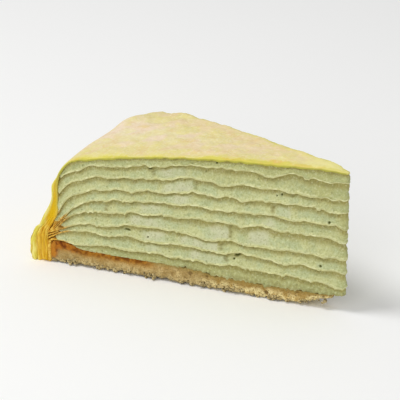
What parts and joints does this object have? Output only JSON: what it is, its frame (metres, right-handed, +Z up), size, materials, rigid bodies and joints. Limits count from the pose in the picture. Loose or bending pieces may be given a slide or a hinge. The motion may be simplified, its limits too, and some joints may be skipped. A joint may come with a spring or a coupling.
{
  "type": "crepe cake slice",
  "caption": "Wedge of layered crepe cake: thin crepes stacked with green whipped cream on a sponge base, under a pale crepe that drapes over the rim in pleats.",
  "frame": {"origin": "on the surface that the slice stands on, under the centre of the slice's bounding box", "axes": "+X along the wedge's middle line towards its point, the round rim is towards -X, the cut face shown in the picture is on the -Y side, +Z up"},
  "size_m": [0.1142, 0.0566, 0.0487],
  "materials": {
    "cover_crepe": "soft matte cooked crepe, pale beige-yellow with faint mottling, egg-yellow at its cut edge and in its pleats",
    "cream": "matte pale green whipped cream with fine air pores and knife marks",
    "crepe": "matte thin cooked crepe, pale yellow-green at the cut, browned at its outer edge",
    "sponge": "dry open-crumbed sponge cake with an orange-brown baked crust on top"
  },
  "bodies": {
    "root": {"cover_crepe": "cover_crepe", "cream_1": "cream", "cream_2": "cream", "cream_3": "cream", "cream_4": "cream", "cream_5": "cream", "cream_6": "cream", "cream_7": "cream", "cream_8": "cream", "cream_9": "cream", "crepe_1": "crepe", "crepe_2": "crepe", "crepe_3": "crepe", "crepe_4": "crepe", "crepe_5": "crepe", "crepe_6": "crepe", "crepe_7": "crepe", "crepe_8": "crepe", "sponge_base": "sponge"}
  },
  "joints": []
}
